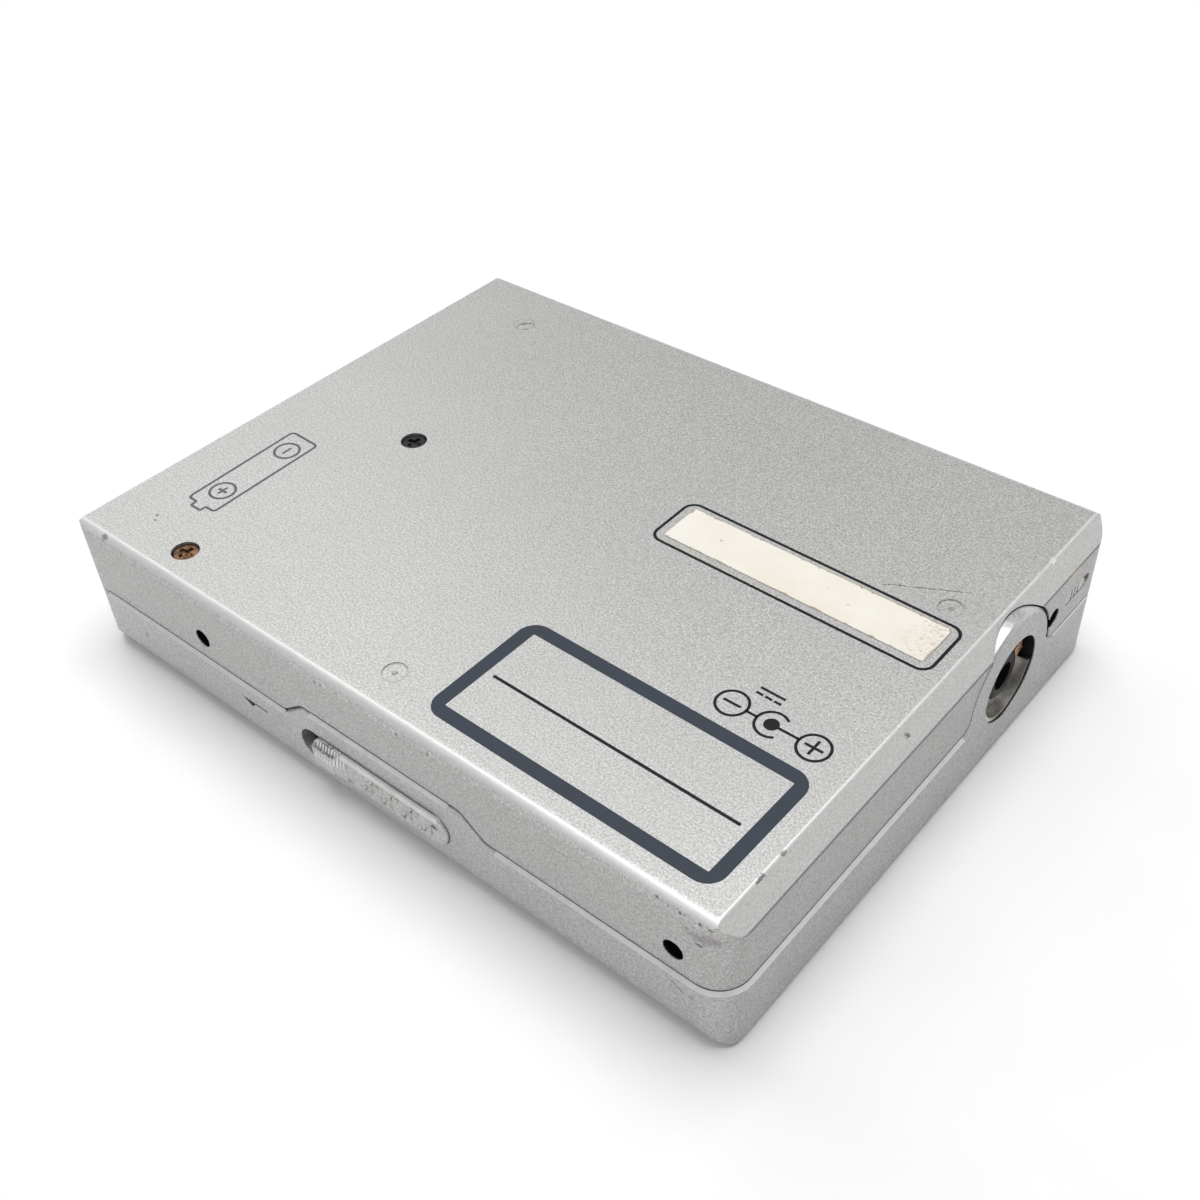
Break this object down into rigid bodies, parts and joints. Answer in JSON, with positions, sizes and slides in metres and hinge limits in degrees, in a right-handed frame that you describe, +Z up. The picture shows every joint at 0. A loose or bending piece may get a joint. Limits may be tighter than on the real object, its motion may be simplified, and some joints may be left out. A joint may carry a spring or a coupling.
{
  "type": "minidisc player",
  "caption": "Pocket disc player in worn silver plastic, lying face down: hinged disc lid, opening slider, headphone jack, hold switch, battery bay, keys and a sledded disc drive inside.",
  "frame": {"origin": "middle of the bounding box in plan, on the outer face of the disc lid that the player lies on", "axes": "+X towards the headphone end, along the longest side; -Y the side with the opening slider, +Y the hinge side; +Z up, out of the player's underside"},
  "size_m": [0.103, 0.08, 0.0205],
  "materials": {
    "silver_plastic": "silver metallic paint with a fine speckle on moulded plastic, satin, chipped along the edges",
    "frame_plastic": "silver metallic paint on the moulded cabinet frame, satin",
    "slider_plastic": "silver metallic paint on small moulded pieces, worn at the pips",
    "black_plastic": "black moulded plastic, matt",
    "nickel": "nickel plated ring, slightly tarnished",
    "copper_alloy": "bare copper alloy spring strip",
    "sheet_steel": "zinc plated sheet steel, faintly brushed",
    "bright_steel": "ground steel rod and plated screws",
    "copper_screw": "copper coloured plated screw head, dull",
    "black_screw": "black oxide screw, matt",
    "motor_can": "turned motor can, satin",
    "circuit_board": "green solder mask on glass fibre board",
    "chip_plastic": "black moulded chip packages",
    "rubber_damper": "soft black rubber",
    "lens_glass": "coated objective lens in a clear holder",
    "sled_plastic": "dark grey moulded optical block"
  },
  "bodies": {
    "lid": {"lid": "silver_plastic", "hinge_pins": "bright_steel", "disc_holder": "sheet_steel", "holder_rivets": "bright_steel", "holder_springs": "bright_steel"},
    "main_body": {"bottom_cover": "silver_plastic", "cabinet_frame": "frame_plastic", "phone_jack": "black_plastic", "jack_sleeve": "nickel", "jack_contacts": "copper_alloy", "hold_switch": "black_plastic", "power_inlet": "black_plastic", "battery_contacts": "nickel", "key_switches": "black_plastic", "mechanism_chassis": "sheet_steel", "chassis_dampers": "rubber_damper", "chassis_screws": "bright_steel", "cover_screws": "copper_screw", "side_screws": "black_screw", "board_standoff": "copper_alloy", "main_board": "circuit_board", "board_chips": "chip_plastic", "spindle_motor": "motor_can", "guide_rods": "bright_steel", "sled_motor": "motor_can"},
    "slider": {"open_slider": "slider_plastic", "latch_bar": "sheet_steel"},
    "hold": {"hold_knob": "slider_plastic"},
    "battery_panel": {"battery_cover": "frame_plastic"},
    "disc_hub": {"turntable": "sled_plastic", "spindle_shaft": "bright_steel"},
    "sled": {"pickup_sled": "sled_plastic"},
    "lens": {"objective_lens": "lens_glass"},
    "screw_shaft": {"lead_screw": "bright_steel"},
    "skip_back_key_cap": {"skip_back_key": "slider_plastic"},
    "skip_forward_key_cap": {"skip_forward_key": "slider_plastic"},
    "play_key_cap": {"play_key": "slider_plastic"},
    "stop_key_cap": {"stop_key": "slider_plastic"},
    "volume_down_key_cap": {"volume_down_key": "slider_plastic"},
    "volume_up_key_cap": {"volume_up_key": "slider_plastic"}
  },
  "joints": [
    {"name": "lid_hinge", "type": "hinge", "parent": "lid", "child": "main_body", "pos_m": [0, 0.03635, 0.00265], "axis": [-1, 0, 0], "range_deg": [0, 45]},
    {"name": "slider_travel", "type": "slide", "parent": "main_body", "child": "slider", "axis": [-1, 0, 0], "range_m": [0, 0.0022], "stiffness_N_per_m": 300},
    {"name": "hold_travel", "type": "slide", "parent": "main_body", "child": "hold", "axis": [0, 1, 0], "range_m": [0, 0.001]},
    {"name": "battery_cover_slide", "type": "slide", "parent": "main_body", "child": "battery_panel", "axis": [-1, 0, 0], "range_m": [0, 0.016]},
    {"name": "disc_spin", "type": "hinge", "parent": "main_body", "child": "disc_hub", "pos_m": [0.00375, -0.0005, 0.008], "axis": [0, 0, 1], "continuous": true},
    {"name": "sled_travel", "type": "slide", "parent": "main_body", "child": "sled", "axis": [-1, 0, 0], "range_m": [0, 0.014]},
    {"name": "screw_turn", "type": "hinge", "parent": "main_body", "child": "screw_shaft", "pos_m": [0, 0.0165, 0.0132], "axis": [1, 0, 0], "range_deg": [0, 1690]},
    {"name": "lens_focus", "type": "slide", "parent": "sled", "child": "lens", "axis": [0, 0, 1], "range_m": [-0.0003, 0.0003], "stiffness_N_per_m": 60},
    {"name": "skip_back_key_press", "type": "slide", "parent": "main_body", "child": "skip_back_key_cap", "axis": [0, -1, 0], "range_m": [0, 0.0005], "stiffness_N_per_m": 500},
    {"name": "skip_forward_key_press", "type": "slide", "parent": "main_body", "child": "skip_forward_key_cap", "axis": [0, -1, 0], "range_m": [0, 0.0005], "stiffness_N_per_m": 500},
    {"name": "play_key_press", "type": "slide", "parent": "main_body", "child": "play_key_cap", "axis": [0, -1, 0], "range_m": [0, 0.0005], "stiffness_N_per_m": 500},
    {"name": "stop_key_press", "type": "slide", "parent": "main_body", "child": "stop_key_cap", "axis": [0, -1, 0], "range_m": [0, 0.0005], "stiffness_N_per_m": 500},
    {"name": "volume_down_key_press", "type": "slide", "parent": "main_body", "child": "volume_down_key_cap", "axis": [0, -1, 0], "range_m": [0, 0.0005], "stiffness_N_per_m": 500},
    {"name": "volume_up_key_press", "type": "slide", "parent": "main_body", "child": "volume_up_key_cap", "axis": [0, -1, 0], "range_m": [0, 0.0005], "stiffness_N_per_m": 500}
  ],
  "couplings": [
    {"joint": "screw_turn", "follows": "sled_travel", "rad_per_m": 2094.4}
  ]
}
